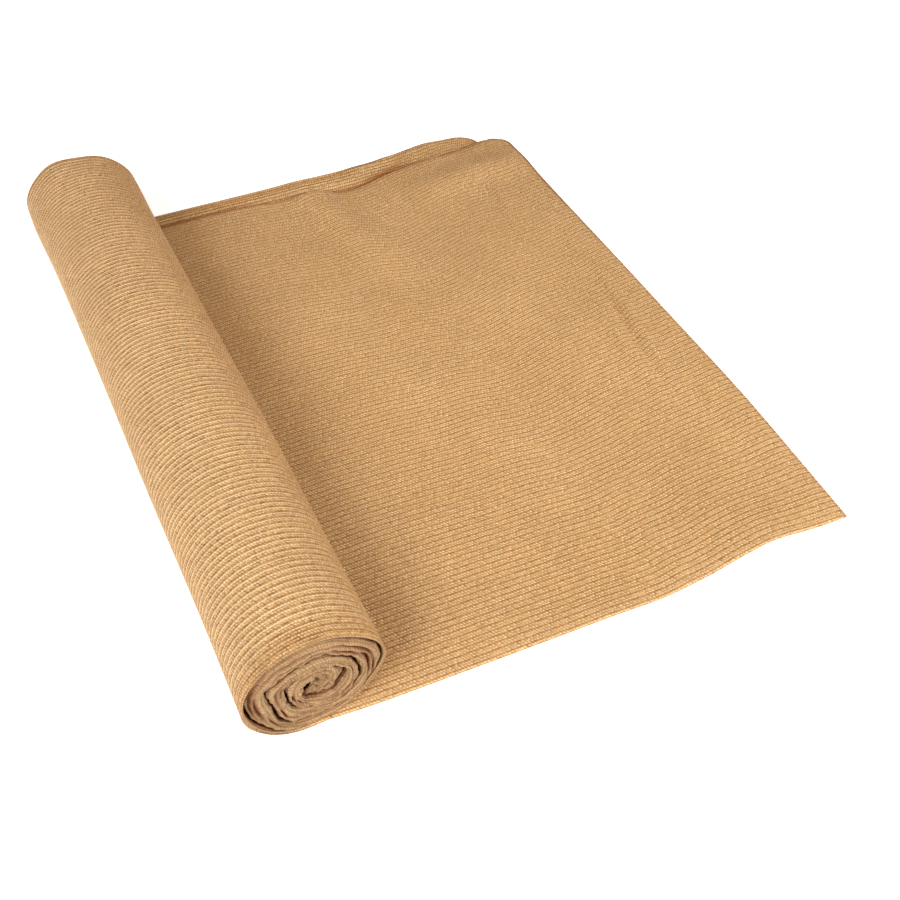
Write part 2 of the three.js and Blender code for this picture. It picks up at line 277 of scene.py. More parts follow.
# Rows of loops, in stitches: how far they lean over half a rib, how far each row is shifted from
# the one before, how far they wander, and how far single loops are off their places
LOOP_LEAN, LOOP_STEP, LOOP_WANDER, LOOP_SCATTER = -0.30, -0.23, 2.5, 0.28
# From a loop's middle, in stitches: where it starts to fall and where it ends, and where the pit
# between loops starts and where it is full
LOOP_TOP, LOOP_FOOT, PIT_EDGE, PIT_FULL = 0.08, 0.44, 0.42, 0.66
# Brightness of single loops, and darkness of single pits: the least, what chance adds, and how
# rare the most is
LOOP_LEAST, LOOP_CHANCE = 0.35, 0.65
PIT_LEAST, PIT_CHANCE, PIT_RARE = 0.22, 0.75, 2.0
# Chain stitch: from its rib's middle, where it starts to fall and where it ends, in ribs, how its
# twist slants over the rib, and the middle and the swing of its brightness
CHAIN_TOP, CHAIN_FOOT, CHAIN_SLANT, CHAIN_MIDDLE, CHAIN_SWING = 0.04, 0.16, 9.0, 0.68, 0.28
# Groove beside each rib, in ribs: half a rib and how far it lies from the rib, from its middle where
# it starts to rise and where it ends, and its depth on slack cloth and what tautness takes off
GROOVE_PLACE, GROOVE_FOOT, GROOVE_EDGE, GROOVE_DEPTH, GROOVE_TAUT = 0.78, 0.02, 0.19, 0.72, -0.55
# Share of tape over the ground: the least, and what its variation adds
TAPE_LEAST, TAPE_VARIES = 0.16, 0.9
# Share of the flattened fold's colour, with its painted shade, on the near end's face, and of the
# painted shade between the turns, in the creases and along the edges
FOLD_SHADE_SHARE, SHADED = 0.55, 0.9
# Brightness of the cloth: the least, and what its streaks and its patches add
CLOTH_LEAST, STREAK_VARIES, PATCH_VARIES = 0.78, 0.30, 0.20
# Height of the stitches, and of loops, pits and grooves as shares of it
STITCH_HEIGHT, LOOP_HEIGHT, PIT_HEIGHT, GROOVE_HEIGHT = 0.4, 0.7, -0.5, -0.8

# Node kinds and settings that the materials use many times. Sockets by number: a Math node's
# values are 0 to 2, a Map Range node's value is 0, its limits are 1 and 2, and the results there
# are 3 and 4, and a Mix node's factor is 0, its colours are 6 and 7, and its output is 2.
MATH = "ShaderNodeMath"
RANGE = "ShaderNodeMapRange"
NOISE = "ShaderNodeTexNoise"
MIX = "ShaderNodeMix"
SMOOTH = {"interpolation_type": "SMOOTHSTEP"}
COLOURS = {"data_type": "RGBA", "out": 2}

# Camera, worked out from the straight outlines of the photo: its place, its turns, its lens and
# sensor in millimetres, and the nearest distance that it sees, in metres
CAMERA_PLACE = Vector((-0.0826, -0.5759, 0.5631))
CAMERA_YAW = 0.456
CAMERA_PITCH = 0.8036
CAMERA_ROLL = -0.0015
CAMERA_LENS = 45.76
CAMERA_SENSOR = 36.0
CAMERA_NEAREST = 0.01

# Place, target and power of the two lights, in metres and watts, and the side, the spread and the
# slightly cool colour of both
KEY_LIGHT = ((-1.0, -0.8, 1.1), (-0.02, 0.05, 0.03), 5.15)
FILL_LIGHT = ((0.95, -0.85, 0.8), (0.37, -0.15, 0.0), 4.55)
LIGHT_SIDE = 0.9
LIGHT_SPREAD = math.radians(70)
LIGHT_COLOUR = (0.92, 0.96, 1.0)
# Warm light from the room all round
ROOM_COLOUR, ROOM_STRENGTH = (1.0, 0.73, 0.45, 1.0), 0.225
# Half the side of the floor, and its glow beside the object's box and away from it, with the
# distance between them, in metres
FLOOR_HALF = 6.0
GLOW_NEAR, GLOW_AWAY, GLOW_DISTANCE = 0.50, 0.8, 0.30


def linear(hex_colour):
    """Linear red, green and blue of an sRGB hex colour."""
    parts = [int(hex_colour[i:i + 2], 16) / 255 for i in (1, 3, 5)]
    return [c / 12.92 if c <= 0.04045 else ((c + 0.055) / 1.055) ** 2.4 for c in parts]


class NettingSizes(bpy.types.PropertyGroup):
    """Sizes of the knit."""

    rib_pitch: bpy.props.FloatProperty(
        name="Rib pitch", description="From one knitted rib to the next across the cloth",
        default=4.25 * MM, unit="LENGTH")
    course_pitch: bpy.props.FloatProperty(
        name="Stitch length", description="From one stitch to the next along a rib",
        default=2.0 * MM, unit="LENGTH")
    thickness: bpy.props.FloatProperty(
        name="Thickness", description="Thickness of one ply", default=1.1 * MM, unit="LENGTH")
    rib_relief: bpy.props.FloatProperty(
        name="Rib relief", description="Height of a rib over the grooves beside it",
        default=0.35 * MM, unit="LENGTH")


class NettingColours(bpy.types.PropertyGroup):
    """Colours of the tapes and of the floor, linear."""

    cord: bpy.props.FloatVectorProperty(
        name="Cord", description="Chain stitch that runs along each rib", subtype="COLOR",
        default=linear(CORD_HEX))
    bead: bpy.props.FloatVectorProperty(
        name="Loops", description="Loops that stand between the chain stitches", subtype="COLOR",
        default=linear(BEAD_HEX))
    tape: bpy.props.FloatVectorProperty(
        name="Tape", description="Flat tape that fills between the chain stitches", subtype="COLOR",
        default=linear(TAPE_HEX))
    ground: bpy.props.FloatVectorProperty(
        name="Ground", description="Depth between the stitches", subtype="COLOR", default=linear(GROUND_HEX))
    pit: bpy.props.FloatVectorProperty(
        name="Pits", description="Small dark pits between cords and loops", subtype="COLOR",
        default=linear(PIT_HEX))
    # Painted shade on the near end's face, laid over the knit where the fold lies flat
    flat_fold_shade: bpy.props.FloatVectorProperty(
        name="Pressed fold", description="Cloth pressed flat and rubbed where it is folded", subtype="COLOR",
        default=linear(FLAT_FOLD_SHADE_HEX))
    # Painted shade between the turns, in the creases and along the edges
    painted_shade: bpy.props.FloatVectorProperty(
        name="Tucked cloth", description="Cloth deep between two turns, and its raw edges", subtype="COLOR",
        default=linear(PAINTED_SHADE_HEX))
    floor: bpy.props.FloatVectorProperty(
        name="Floor", description="Pale floor", subtype="COLOR", default=linear(FLOOR_HEX))


def smooth_rows(value, rows, key, column):
    """Value of a table's column on a cubic curve through its rows: each slope is taken from the rows before
    and after, and beyond the ends the last value holds."""
    at, height = rows[key], rows[column]
    slope = np.gradient(height, at)
    value = np.clip(value, at[0], at[-1])
    i = np.clip(np.searchsorted(at, value, side="right") - 1, 0, len(at) - 2)
    width = at[i + 1] - at[i]
    t = (value - at[i]) / width
    low, high = height[i], height[i + 1]
    return ((1 + 2 * t) * (1 - t) ** 2 * low + t * (1 - t) ** 2 * width * slope[i]
            + t ** 2 * (3 - 2 * t) * high + t ** 2 * (t - 1) * width * slope[i + 1])


def ramp(value, start, end):
    """Grows evenly from 0 at start to 1 at end, and stays there."""
    return np.clip((value - start) / (end - start), 0, 1)


def hump(value, width):
    """Bell curve of height 1 at zero: e to the minus square of the value over the width."""
    return np.exp(-((value / width) ** 2))


def ripple(a, b, waves):
    """Sum of sines over two coordinates: each has its height, its two wave numbers and its phase."""
    total = np.zeros(np.broadcast(a, b).shape)
    for wave in waves:
        total = total + wave["height"] * np.sin(wave["per_a"] * a + wave["per_b"] * b + wave["phase"])
    return total


def rib_height(across, pitch):
    """Relief of the knit: a crest of 1 at each whole pitch, where the chain stitch runs, a lower one half way
    between, where the loops are, and grooves between them. It is a half, plus half the cosine of twice the
    phase, less the loops' drop times one minus the cosine of the phase."""
    phase = 2 * np.pi * across / pitch
    return 0.5 + 0.5 * np.cos(2 * phase) - LOOP_DROP * (1 - np.cos(phase))


def relief_at(across, sizes):
    """Height of the knit over its rib crests, which is zero or less, in millimetres: the relief times the
    knit's height less one."""
    return sizes.rib_relief / MM * (rib_height(across * MM, sizes.rib_pitch) - 1)


def roll_outline(angle, y):
    """Distance of the roll's outline from its axis, in millimetres: an oval, cut flat where it rests, and
    slightly uneven away from the floor."""
    half_width = smooth_rows(y, ROLL_STATIONS, "y", "half_width")
    half_height = smooth_rows(y, ROLL_STATIONS, "y", "half_height")
    side, up = np.cos(angle), np.sin(angle)
    oval = half_width * half_height / np.hypot(half_height * side, half_width * up)
    uneven = oval * (1 + (1 + up) / 2 * ripple(angle, y, OUTLINE_WAVES))
    floor_distance = (half_height - FLAT_DEPTH) / np.maximum(-up, 1e-6)
    return np.where(up < 0, np.minimum(uneven, floor_distance), uneven)


def quarter_fold(half, reach):
    """Length of a quarter of the fold's ellipse, from the mean of its squared half axes."""
    return np.pi / 2 * np.sqrt((half ** 2 + reach ** 2) / 2)


def section(across, half, reach):
    """Folded section of a band, from a distance across the cloth that is counted from the fold's tip and is
    below zero on the outer ply: half an ellipse of the given half width and reach, then straight plies.
    Gives the offset outward, the place along the roll behind the start of the plies, and the normal."""
    quarter = quarter_fold(half, reach)
    turned = np.clip(np.abs(across) / quarter, 0, 1) * np.pi / 2
    side = -np.sign(across)
    outward = side * half * np.sin(turned)
    along = -reach * np.cos(turned) + np.maximum(np.abs(across) - quarter, 0)
    return outward, along, side * np.sin(turned), -np.cos(turned)


def dents(turn, place):
    """Depth of the creases in the near fold, at a turn and a place across the fold: the sum of the creases,
    each a bell curve along the winding times one across the fold."""
    depth = np.zeros_like(turn)
    for crease in CREASES:
        window = hump(turn - crease["turn"], crease["span"])
        depth += crease["depth"] * window * hump(-place - crease["across"], crease["width"])
    return depth


def ridges(x, y, under):
    """Height of the soft ridges at a place: the sum of the ridges, each a bell curve along its own direction
    times one across it, and on the cloth that lies under only as much of it as that ply follows."""
    height = np.zeros_like(x)
    for ridge in RIDGES:
        cosine, sine = math.cos(math.radians(ridge["turn_deg"])), math.sin(math.radians(ridge["turn_deg"]))
        a = ((x - ridge["x"]) * cosine + (y - ridge["y"]) * sine) / ridge["along"]
        b = ((y - ridge["y"]) * cosine - (x - ridge["x"]) * sine) / ridge["across"]
        height += ridge["height"] * np.exp(-a * a - b * b) * np.where(under, ridge["lower"], 1.0)
    return height


def wound_cloth(turns, across, sizes):
    """Places of the wound cloth on a grid of turns by distances across. The band lies between the gap of its
    own turn and that of the turn inside it, and its section is a folded one. The ribs and the unevenness of
    the fold move it along its own normal, creases press the fold in along the roll, and waves lift its free
    edges. The result is in metres, with the UV map and the state of the cloth."""
    turn, cross = np.meshgrid(turns, across, indexing="ij")
    from_fold = np.abs(cross)
    outer_ply = cross < 0
    angle = -np.pi / 2 - 2 * np.pi * turn

    # The band and its folded section
    near_radius = roll_outline(angle, np.full_like(turn, ROLL_STATIONS["y"][0]))
    outer = smooth_rows(turn, GAPS, "turn", "share")
    inner = smooth_rows(turn + 1, GAPS, "turn", "share")
    inner = inner + smooth_rows(turn + 1, GAPS, "turn", "gap") / near_radius
    half = near_radius * (outer - inner) / 2
    reach = np.polyval(FOLD_REACH, half)
    outward, along, normal_out, normal_along = section(cross, half, reach)
    dent = dents(turn, np.clip(outward / half, -1, 1))

    # Ribs and the unevenness of the fold
    inside = ramp(turn, SPLIT_TURN, SPLIT_TURN + SET_IN)
    covered = np.where(outer_ply, inside, 1)
    uneven = ripple(turn * 2 * np.pi, cross, FOLD_WAVES)
    uneven = uneven * (FOLD_WAVES_OUTSIDE + (1 - FOLD_WAVES_OUTSIDE) * inside)
    shown = 1 - covered * ramp(from_fold, *RIBS_FADE)
    push = relief_at(cross, sizes) * shown + hump(from_fold, np.polyval(FOLD_ZONE, half)) * uneven
    outward = outward + normal_out * push

    # Along the roll, from the slipped fold to the free edges
    start = NEAR_END_Y - smooth_rows(turn, SLIPS, "turn", "slip") + reach
    ply = np.where(outer_ply, OUTER_PLY, INNER_PLY)
    far = np.where(outer_ply, smooth_rows(turn, FAR_EDGES, "turn", "outer"),
                   smooth_rows(turn, FAR_EDGES, "turn", "inner"))
    behind = ramp(along, 0, PAINTED_SHADE_DEPTH)
    along = np.where(along > 0, along * (far - start) / (ply - quarter_fold(half, reach)), along)
    y = start + along + normal_along * push + dent * (from_fold < np.polyval(CREASE_ZONE, half))

    # Round the roll
    outward = outward + ramp(from_fold, *FREE_PART) ** 2 * ripple(turn * 2 * np.pi, from_fold, FREE_WAVES)
    radius = roll_outline(angle, y)
    distance = radius * (outer + inner) / 2 + outward * radius / near_radius
    x = smooth_rows(y, ROLL_STATIONS, "y", "middle") + distance * np.cos(angle)
    height = smooth_rows(y, ROLL_STATIONS, "y", "half_height") - FLAT_DEPTH
    z = np.maximum(height + distance * np.sin(angle), 0)
    points = np.stack([x, y, z], axis=-1) * MM

    # Length along the cloth, and the state of the cloth for its material
    step = np.hypot(np.gradient(points[:, 0, 0]), np.gradient(points[:, 0, 2]))
    length = np.cumsum(step) - step[0]
    uv = np.stack(np.broadcast_arrays(length[:, None], cross * MM), axis=-1)
    wound = ramp(turn, 0, SET_IN)
    taut = smooth_rows(turn % 1, TAUT, "turn", "taut")
    taut = taut * np.maximum(ramp(from_fold - TAUT_START * half, 0, TAUT_SPAN), TAUT_LEAST)
    # Flattened fold with painted shade on the near end's face
    flat_fold_shade = covered * wound * (1 - ramp(from_fold - half, *FLAT_FOLD_SHADE_FADE))
    # Painted shade on the cloth behind the fold, between the turns, and in the creases
    painted_shade = covered * wound * behind + np.minimum(dent / CREASE_DARK, CREASE_MOST)
    # Painted shade at the raw free edges, whose frayed tape ends are darker too
    painted_shade = painted_shade + FRAY_AND_EDGE_SHADE * ramp(from_fold - ply, *RAW_STRIP)
    return points, uv, np.stack([taut, flat_fold_shade, np.clip(painted_shade, 0, 1)], axis=-1)


def loose_cloth(lengths, across, sizes):
    """Places of the loose end on a grid of shares of its length by distances across. The folded section lies
    on the floor between the outline's fold and its two free edges, the ribs bow towards the far side, the cut
    end bends and rounds its corner, and ridges and waves lift the cloth. The result is in metres, with the
    UV map and the state of the cloth."""
    share, cross = np.meshgrid(lengths, across, indexing="ij")
    lower = cross < 0

    # Across the sheet, between the fold and the two free edges
    start = -math.tan(2 * np.pi * SEAM_TURN) * (ROLL_STATIONS["half_height"][0] - FLAT_DEPTH) - SEAM_LAP
    x = start + share * (CUT_END_X - start)
    fold = smooth_rows(x, OUTLINE, "x", "fold")
    upper_edge = smooth_rows(x, OUTLINE, "x", "upper_edge")
    edge = np.where(lower, smooth_rows(x, OUTLINE, "x", "lower_edge"), upper_edge)
    outward, along, normal_out, normal_along = section(cross, LOOSE_HALF, LOOSE_HALF)
    under = outward > 0
    straight = np.maximum(along, 0)
    full = np.where(lower, -across[0], across[-1]) - quarter_fold(LOOSE_HALF, LOOSE_HALF)
    y = fold + LOOSE_HALF + np.minimum(along, 0) + straight * (edge - fold - LOOSE_HALF) / full
    y = y + RIB_BOW * ramp(x, *BOW_PART) ** 2 * np.sin(np.pi * np.clip(straight / full, 0, 1)) ** BOW_SHAPE

    # Along the sheet, to the cut end with its rounded corner
    from_edge = np.maximum(edge - y, 0)
    radius = np.where(lower, LOWER_CORNER_RADIUS, CORNER_RADIUS)
    corner = np.clip(1 - from_edge / radius, 0, CORNER_MOST)
    cut = CUT_END_X + smooth_rows(y, CUT_END_BEND, "y", "shift") - radius * (1 - np.sqrt(1 - corner ** 2))
    gathered = under * ramp(y, *GATHERED_Y) * (1 - ramp(x, *GATHERED_X))
    x = start + share * (cut - lower * LOWER_SHORT * ramp(y, *LOWER_SHORT_PART) ** 2 - start)
    from_cut = (1 - share) * (cut - start)

    # Height over the floor
    lift = ridges(x, y, under) + gathered * (GATHERED_HEIGHT + ripple(x, y, GATHERED_WAVES))
    lift += ramp(x, *SHEET_FREE) * (outward < 0) * ripple(x, y, SHEET_WAVES)
    relief = relief_at(cross, sizes)
    y = y + normal_along * relief
    z = LOOSE_HALF - outward - normal_out * relief * np.where(under, LOWER_RELIEF, 1.0) + lift
    droop = CUT_DROOP * hump(from_cut, CUT_DROOP_WIDTH) + EDGE_DROOP * hump(from_edge, EDGE_DROOP_WIDTH)
    z = z * (1 - np.clip(droop, 0, DROOP_MOST) * (outward < 0))
    z = np.maximum(z, np.where(outward < 0, PLY_FLOOR, 0))
    points = np.stack([x, y, z], axis=-1) * MM

    # Length along the cloth, and the state of the cloth for its material
    uv = np.stack(np.broadcast_arrays((start - x) * MM, cross * MM), axis=-1)
    taut = LOOSE_TAUT + FOLD_TAUT * hump(cross - FOLD_TAUT_PLACE, FOLD_TAUT_WIDTH)
    taut += ripple(x, y, LOOSE_TAUT_WAVES)
    # Painted shade at the drooping cut end, more towards the far corner
    cut_shade = hump(from_cut, CUT_DARK_WIDTH) * (CUT_DARK + CUT_DARK_MORE * ramp(y, *CUT_DARK_PART))
    # Painted shade along the drooping far edges
    edge_shade = hump(from_edge, EDGE_DARK_WIDTH) * EDGE_DARK
    # Painted shadow on the lower ply beside the upper ply's far edge, stronger towards the roll
    shadow_beside_edge = lower * (y > UNDER_DARK_FROM) * hump(np.maximum(y - upper_edge, 0), UNDER_DARK_WIDTH)
    shadow_beside_edge = shadow_beside_edge * (UNDER_DARK + UNDER_DARK_MORE * (1 - ramp(x, *UNDER_DARK_PART)))
    painted_shade = np.clip(cut_shade + edge_shade + shadow_beside_edge, 0, 1)
    return points, uv, np.stack([taut, np.zeros_like(x), painted_shade], axis=-1)


def across_grid(pitch, ends, close, coarse, parts=4):
    """Distances across the cloth between its two ends, in millimetres from the fold's tip. They are steps of
    a rib's pitch over its parts: every step in the close stretches, and one for each coarse distance
    elsewhere."""
    part = pitch / MM / parts
    steps = np.arange(math.floor(ends[0] / part), math.ceil(ends[1] / part) + 1)
    keep = np.zeros(len(steps), dtype=bool)
    keep[:: max(1, round(coarse / part))] = True
    keep[-1] = True
    for start, end in close:
        keep |= (steps * part >= start) & (steps * part <= end)
    return steps[keep] * part


def cloth_piece(name, cloth, sizes, replaced, material):
    """Makes the sheet piece over a grid of points, with its UV map in metres and its thickness on the inside
    of the fold, hangs it on the root body and hides the imported part that it replaces. Its flat size is the
    span of its UV map."""
    points, uv, state = cloth
    rows, columns = points.shape[:2]
    index = np.arange(rows * columns).reshape(rows, columns)
    quads = np.stack([index[:-1, :-1], index[:-1, 1:], index[1:, 1:], index[1:, :-1]], axis=-1).reshape(-1, 4)
    mesh = bpy.data.meshes.new(name)
    mesh.vertices.add(rows * columns)
    mesh.vertices.foreach_set("co", points.astype("f4").ravel())
    mesh.loops.add(quads.size)
    mesh.loops.foreach_set("vertex_index", quads.astype("i4").ravel())
    mesh.polygons.add(len(quads))
    mesh.polygons.foreach_set("loop_start", np.arange(0, quads.size, 4, dtype="i4"))
    mesh.polygons.foreach_set("use_smooth", np.ones(len(quads), dtype=bool))
    layer = mesh.uv_layers.new(name="cloth")
    layer.data.foreach_set("uv", uv.reshape(-1, 2)[quads.ravel()].astype("f4").ravel())
    states = mesh.attributes.new("cloth_state", "FLOAT_VECTOR", "POINT")
    states.data.foreach_set("vector", state.astype("f4").ravel())
    mesh.update(calc_edges=True)
    mesh.validate()
    piece = bpy.data.objects.new(name, mesh)
    bpy.context.scene.collection.objects.link(piece)
    mesh.materials.append(material)
    solid = piece.modifiers.new("ply", "SOLIDIFY")
    solid.thickness = sizes.thickness
    solid.offset = -1
    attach(piece, "root")
    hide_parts(replaced)
    return piece


def add_node(tree, kind, inputs, out=0, **settings):
    """Adds a node with its settings, sets or links its inputs by name or number, and gives one output."""
    node = tree.nodes.new(kind)
    for key, value in settings.items():
        setattr(node, key, value)
    for key, value in inputs.items():
        if isinstance(value, bpy.types.NodeSocket):
            tree.links.new(value, node.inputs[key])
        else:
            node.inputs[key].default_value = value
    return node.outputs[out]


def knitted_netting(name, sizes, colours):
    """Warp-knitted polyethylene tape, wheat coloured. Where the cloth is taut, chain stitches stand as pale
    twisted cords along the ribs, with a row of small round loops half way between two cords. Where it is
    slack, rows of uneven loops lean over the ribs, with a thin groove along each. Flat tape in darker tan
    fills the rest, and the ground shows dark between. The tape is dull with a slight gloss."""
    material = bpy.data.materials.new(name)
    material.use_nodes = True
    tree = material.node_tree
    shader = tree.nodes["Principled BSDF"]
    shader.inputs["Roughness"].default_value = 0.66
    shader.inputs["Specular IOR Level"].default_value = 0.25

    # Places on the cloth, counted in ribs and in stitches
    place = add_node(tree, "ShaderNodeUVMap", {}, uv_map="cloth")
    split = add_node(tree, "ShaderNodeSeparateXYZ", {0: place}).node
    state = add_node(tree, "ShaderNodeAttribute", {}, out="Vector", attribute_name="cloth_state")
    states = add_node(tree, "ShaderNodeSeparateXYZ", {0: state}).node
    taut, flat_fold_shade, painted_shade = states.outputs
    ribs = add_node(tree, MATH, {0: split.outputs[1], 1: sizes.rib_pitch}, operation="DIVIDE")
    courses = add_node(tree, MATH, {0: split.outputs[0], 1: sizes.course_pitch}, operation="DIVIDE")
    fine = add_node(tree, NOISE, {"Vector": place, "Scale": 1 / (TAPE_SIZE * MM), "Detail": 1.0})
    drift = add_node(tree, NOISE, {"Vector": place, "Scale": 1 / (SWAY_SIZE * MM), "Detail": 1.0})
    wander = add_node(tree, NOISE, {"Vector": place, "Scale": 1 / (WANDER_SIZE * MM), "Detail": 2.0})
    patch = add_node(tree, NOISE, {"Vector": place, "Scale": 1 / (PATCH_SIZE * MM), "Detail": 4.0})
    sway = add_node(tree, MATH, {0: drift, 1: SWAY, 2: SWAY_MIDDLE}, operation="MULTIPLY_ADD")
    sway = add_node(tree, MATH, {0: fine, 1: TAPE_SWAY, 2: sway}, operation="MULTIPLY_ADD")
    swayed = add_node(tree, MATH, {0: ribs, 1: sway}, operation="ADD")

    # Loops, on a leaning grid of one stitch by half a rib, each a little off its place, and pits between them
    half_ribs = add_node(tree, MATH, {0: swayed, 1: 2.0, 2: 0.5}, operation="MULTIPLY_ADD")
    row = add_node(tree, MATH, {0: half_ribs}, operation="FLOOR")
    leaning = add_node(tree, MATH, {0: half_ribs, 1: LOOP_LEAN, 2: courses}, operation="MULTIPLY_ADD")
    leaning = add_node(tree, MATH, {0: row, 1: LOOP_STEP, 2: leaning}, operation="MULTIPLY_ADD")
    leaning = add_node(tree, MATH, {0: wander, 1: LOOP_WANDER, 2: leaning}, operation="MULTIPLY_ADD")
    grid_place = add_node(tree, "ShaderNodeCombineXYZ", {0: leaning, 1: half_ribs})
    loops = add_node(tree, "ShaderNodeTexVoronoi",
                     {"Vector": grid_place, "Scale": 1.0, "Randomness": LOOP_SCATTER},
                     voronoi_dimensions="2D").node
    chance = add_node(tree, "ShaderNodeSeparateColor", {0: loops.outputs["Color"]}).node
    from_loop = loops.outputs["Distance"]
    loop = add_node(tree, RANGE, {0: from_loop, 1: LOOP_TOP, 2: LOOP_FOOT, 3: 1.0, 4: 0.0}, **SMOOTH)
    brightness = add_node(tree, MATH, {0: chance.outputs[0], 1: LOOP_CHANCE, 2: LOOP_LEAST},
                          operation="MULTIPLY_ADD")
    loop = add_node(tree, MATH, {0: loop, 1: brightness}, operation="MULTIPLY")
    pit = add_node(tree, RANGE, {0: from_loop, 1: PIT_EDGE, 2: PIT_FULL, 3: 0.0, 4: 1.0}, **SMOOTH)
    darkness = add_node(tree, MATH, {0: chance.outputs[1], 1: PIT_RARE}, operation="POWER")
    darkness = add_node(tree, MATH, {0: darkness, 1: PIT_CHANCE, 2: PIT_LEAST}, operation="MULTIPLY_ADD")
    pit = add_node(tree, MATH, {0: pit, 1: darkness}, operation="MULTIPLY")

    # Chain stitches on the ribs, twisted once a stitch
    rib_phase = add_node(tree, MATH, {0: swayed, 1: 0.5}, operation="ADD")
    rib_phase = add_node(tree, MATH, {0: rib_phase}, operation="FRACT")
    rib_phase = add_node(tree, MATH, {0: rib_phase, 1: 0.5}, operation="SUBTRACT")
    from_rib = add_node(tree, MATH, {0: rib_phase}, operation="ABSOLUTE")
    chain = add_node(tree, RANGE, {0: from_rib, 1: CHAIN_TOP, 2: CHAIN_FOOT, 3: 1.0, 4: 0.0}, **SMOOTH)
    twist = add_node(tree, MATH, {0: courses, 1: 2 * math.pi}, operation="MULTIPLY")
    twist = add_node(tree, MATH, {0: swayed, 1: CHAIN_SLANT, 2: twist}, operation="MULTIPLY_ADD")
    twist = add_node(tree, MATH, {0: twist}, operation="SINE")
    twist = add_node(tree, MATH, {0: twist, 1: CHAIN_SWING, 2: CHAIN_MIDDLE}, operation="MULTIPLY_ADD")
    chain = add_node(tree, MATH, {0: chain, 1: twist}, operation="MULTIPLY")
    chain = add_node(tree, MATH, {0: chain, 1: taut}, operation="MULTIPLY")

    # Groove beside each rib, deeper where the cloth is slack
    groove = add_node(tree, MATH, {0: swayed, 1: GROOVE_PLACE}, operation="ADD")
    groove = add_node(tree, MATH, {0: groove}, operation="FRACT")
    groove = add_node(tree, MATH, {0: groove, 1: 0.5}, operation="SUBTRACT")
    groove = add_node(tree, MATH, {0: groove}, operation="ABSOLUTE")
    groove = add_node(tree, RANGE, {0: groove, 1: GROOVE_FOOT, 2: GROOVE_EDGE, 3: 1.0, 4: 0.0}, **SMOOTH)
    groove_depth = add_node(tree, MATH, {0: taut, 1: GROOVE_TAUT, 2: GROOVE_DEPTH}, operation="MULTIPLY_ADD")
    groove = add_node(tree, MATH, {0: groove, 1: groove_depth}, operation="MULTIPLY")

    # Colours, from the ground up
    tape = add_node(tree, MATH, {0: fine, 1: TAPE_VARIES, 2: TAPE_LEAST}, operation="MULTIPLY_ADD")
    colour = add_node(tree, MIX, {0: tape, 6: (*colours.ground, 1.0), 7: (*colours.tape, 1.0)}, **COLOURS)
    colour = add_node(tree, MIX, {0: loop, 6: colour, 7: (*colours.bead, 1.0)}, **COLOURS)
    colour = add_node(tree, MIX, {0: pit, 6: colour, 7: (*colours.pit, 1.0)}, **COLOURS)
    colour = add_node(tree, MIX, {0: groove, 6: colour, 7: (*colours.ground, 1.0)}, **COLOURS)
    colour = add_node(tree, MIX, {0: chain, 6: colour, 7: (*colours.cord, 1.0)}, **COLOURS)
    # On the near end's face the knit lies flat, and a painted shade darkens it
    fold_shade_share = add_node(tree, MATH, {0: flat_fold_shade, 1: FOLD_SHADE_SHARE}, operation="MULTIPLY")
    colour = add_node(tree, MIX, {0: fold_shade_share, 6: colour, 7: (*colours.flat_fold_shade, 1.0)}, **COLOURS)

    # Each rib and each stretch of cloth differs a little
    rib_number = add_node(tree, MATH, {0: swayed}, operation="ROUND")
    streak_length = STREAK_SIZE * MM * STREAK_STEP
    along = add_node(tree, MATH, {0: split.outputs[0], 1: 1 / streak_length}, operation="MULTIPLY")
    streak_place = add_node(tree, "ShaderNodeCombineXYZ", {0: along, 1: rib_number})
    streak = add_node(tree, NOISE, {"Vector": streak_place, "Scale": STREAK_STEP, "Detail": 2.0})
    uneven = add_node(tree, MATH, {0: streak, 1: STREAK_VARIES, 2: CLOTH_LEAST}, operation="MULTIPLY_ADD")
    uneven = add_node(tree, MATH, {0: patch, 1: PATCH_VARIES, 2: uneven}, operation="MULTIPLY_ADD")
    grey = add_node(tree, "ShaderNodeCombineXYZ", {0: uneven, 1: uneven, 2: uneven})
    colour = add_node(tree, MIX, {0: 1.0, 6: colour, 7: grey}, **COLOURS, blend_type="MULTIPLY")
    # Painted shade between the turns, in the creases and along the edges: warm and dark
    deep = add_node(tree, MATH, {0: painted_shade, 1: SHADED}, operation="MULTIPLY")
    colour = add_node(tree, MIX, {0: deep, 6: colour, 7: (*colours.painted_shade, 1.0)}, **COLOURS,
                      blend_type="MULTIPLY")
    tree.links.new(colour, shader.inputs["Base Color"])

    # Relief of the stitches for the light
    height = add_node(tree, MATH, {0: loop, 1: LOOP_HEIGHT, 2: chain}, operation="MULTIPLY_ADD")
    height = add_node(tree, MATH, {0: pit, 1: PIT_HEIGHT, 2: height}, operation="MULTIPLY_ADD")
    height = add_node(tree, MATH, {0: groove, 1: GROOVE_HEIGHT, 2: height}, operation="MULTIPLY_ADD")
    normal = add_node(tree, "ShaderNodeBump",
                      {"Height": height, "Strength": 1.0, "Distance": STITCH_HEIGHT * MM})
    tree.links.new(normal, shader.inputs["Normal"])
    return material


def netting_material(sizes, colours):
    """The netting's material, made once and shared by its pieces."""
    name = "knitted_polyethylene_netting"
    return bpy.data.materials.get(name) or knitted_netting(name, sizes, colours)


